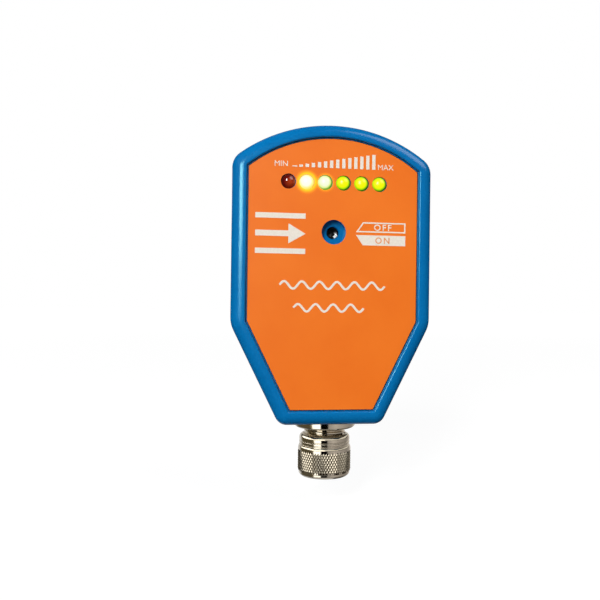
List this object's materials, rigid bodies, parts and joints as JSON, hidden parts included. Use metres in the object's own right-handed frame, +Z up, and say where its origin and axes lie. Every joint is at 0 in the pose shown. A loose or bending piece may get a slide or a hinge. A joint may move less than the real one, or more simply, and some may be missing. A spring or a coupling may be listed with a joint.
{
  "type": "electronic flow switch",
  "caption": "Electronic flow switch: arched housing with lamp row and adjuster well, threaded probe behind, threaded plug with knurled screw cap below.",
  "frame": {"origin": "on the pipe thread's axis, at the plane of its sealing shoulder", "axes": "+Y along the probe, away from the housing; the face label looks towards -Y; +Z up, +X to the right as the face label is seen"},
  "size_m": [0.055, 0.0793, 0.0983],
  "materials": {
    "blue_housing": "moulded polyamide, fine spark-eroded grain",
    "orange_label": "printed polyester film, satin",
    "red_lens": "cast epoxy, clear gloss",
    "yellow_lens": "cast epoxy, lit",
    "green_lens": "cast epoxy, lit",
    "tinned_wire": "bright tin",
    "black_plastic": "moulded, satin black",
    "green_board": "solder mask, satin",
    "screw_steel": "zinc plated",
    "trimmer_blue": "moulded, gloss",
    "can_aluminium": "drawn can",
    "white_plastic": "moulded nylon",
    "wire_sleeve": "extruded insulation",
    "black_rubber": "moulded nitrile rubber",
    "stainless_steel": "turned stainless steel",
    "pipe_seal": "moulded fluorocarbon rubber",
    "nickel_brass": "nickel plated brass",
    "gold_contact": "gold flashed brass",
    "ceramic_strip": "fired alumina, stands in for ceramic",
    "element_black": "glazed resistor chip"
  },
  "bodies": {
    "housing": {"front_housing": "blue_housing", "rear_cover": "blue_housing", "face_label": "orange_label", "lamp_red": "red_lens", "lamp_yellow": "yellow_lens", "lamp_green_1": "green_lens", "lamp_green_2": "green_lens", "lamp_green_3": "green_lens", "lamp_green_4": "green_lens", "lamp_leads": "tinned_wire", "lamp_holder": "black_plastic", "main_board": "green_board", "board_screws": "screw_steel", "trimmer_body": "trimmer_blue", "controller_chip": "black_plastic", "regulator_chip": "black_plastic", "output_transistor": "black_plastic", "capacitors": "can_aluminium", "sensor_header": "white_plastic", "sensor_wires": "wire_sleeve", "plug_header": "white_plastic", "plug_wires": "wire_sleeve", "cover_gasket": "black_rubber", "cover_screws": "screw_steel", "process_fitting": "stainless_steel", "fitting_o_ring": "black_rubber", "process_seal": "pipe_seal", "fitting_nut": "nickel_brass", "sensor_carrier": "ceramic_strip", "heater_element": "element_black", "reference_element": "element_black", "connector_shell": "nickel_brass", "connector_insert": "black_plastic", "connector_pins": "gold_contact", "connector_o_ring": "black_rubber", "connector_nut": "nickel_brass"},
    "adjuster": {"adjuster_rotor": "black_plastic"},
    "cap_carrier": {"cap_seal": "black_rubber"},
    "cap": {"connector_cap": "nickel_brass"}
  },
  "joints": [
    {"name": "adjuster_turn", "type": "hinge", "parent": "housing", "child": "adjuster", "pos_m": [0, -0.031, 0], "axis": [0, 1, 0], "range_deg": [-135, 135]},
    {"name": "cap_travel", "type": "slide", "parent": "housing", "child": "cap_carrier", "axis": [0, 0, -1], "range_m": [0, 0.008]},
    {"name": "cap_turn", "type": "hinge", "parent": "cap_carrier", "child": "cap", "pos_m": [0, -0.023, -0.065], "axis": [0, 0, -1], "range_deg": [0, 2880]}
  ],
  "couplings": [
    {"joint": "cap_travel", "follows": "cap_turn", "m_per_rad": 0.00015915}
  ]
}
